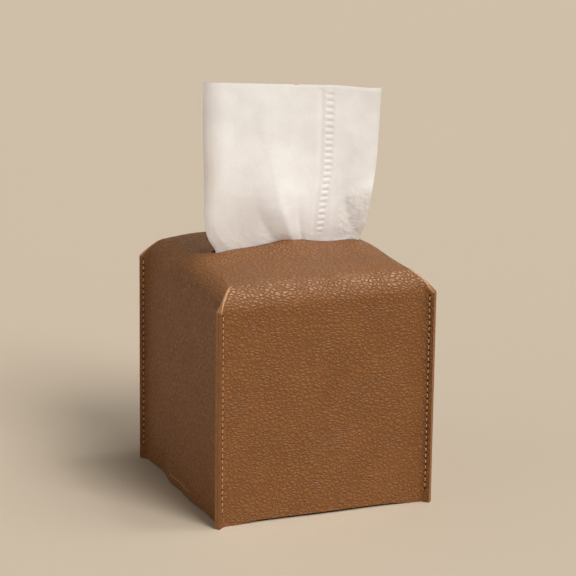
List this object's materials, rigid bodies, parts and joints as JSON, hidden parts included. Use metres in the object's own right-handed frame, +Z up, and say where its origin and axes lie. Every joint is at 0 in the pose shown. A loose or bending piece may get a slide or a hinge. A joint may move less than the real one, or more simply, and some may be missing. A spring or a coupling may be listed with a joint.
{
  "type": "tissue box cover",
  "caption": "Square slip-over leather tissue box cover with sewn corner flanges, bottom straps, a tissue carton inside and a tissue standing in its slit.",
  "frame": {"origin": "on the surface that the cover stands on, under the middle of its four panels", "axes": "+Z up, +X along the slit in the top, -Y out of the panel that the picture shows from the front"},
  "size_m": [0.1314, 0.1314, 0.232],
  "materials": {
    "leather": "pebbled, satin",
    "thread": "matte",
    "hook_tape": "hooked, matte",
    "loop_tape": "looped, matte",
    "board": "folding board, matte",
    "film": "clear, glossy",
    "tissue": "soft, matte"
  },
  "bodies": {
    "cover": {"leather_cover": "leather", "seam_thread_front_left": "thread", "seam_thread_front_right": "thread", "seam_thread_back_right": "thread", "seam_thread_back_left": "thread", "strap_thread_left": "thread", "strap_thread_right": "thread", "strap_sewn_end_left": "leather", "strap_sewn_end_right": "leather", "carton_walls": "board", "carton_glue_tab": "board", "carton_top_panel": "board", "carton_dust_flaps": "board", "carton_inner_flaps": "board", "carton_outer_flaps": "board", "dispensing_film": "film", "tissue_bundle_1": "tissue", "tissue_bundle_2": "tissue", "tissue_bundle_3": "tissue", "tissue_bundle_4": "tissue", "tissue_bundle_5": "tissue"},
    "long_strap": {"strap_long": "leather", "hook_pad": "hook_tape", "hook_pad_thread": "thread"},
    "short_strap": {"strap_short": "leather", "loop_pad": "loop_tape", "loop_pad_thread": "thread"},
    "tissue": {"tissue_sheet": "tissue"}
  },
  "joints": [
    {"name": "long_strap_bend", "type": "hinge", "parent": "cover", "child": "long_strap", "pos_m": [-0.0595, 0, 0.0013], "axis": [0, 1, 0], "range_deg": [0, 90]},
    {"name": "short_strap_bend", "type": "hinge", "parent": "cover", "child": "short_strap", "pos_m": [0.0595, 0, 0.0045], "axis": [0, -1, 0], "range_deg": [0, 90]},
    {"name": "tissue_pull", "type": "slide", "parent": "cover", "child": "tissue", "axis": [0, 0, 1], "range_m": [0, 0.075]}
  ],
  "couplings": [
    {"joint": "short_strap_bend", "follows": "long_strap_bend", "ratio": 1}
  ]
}
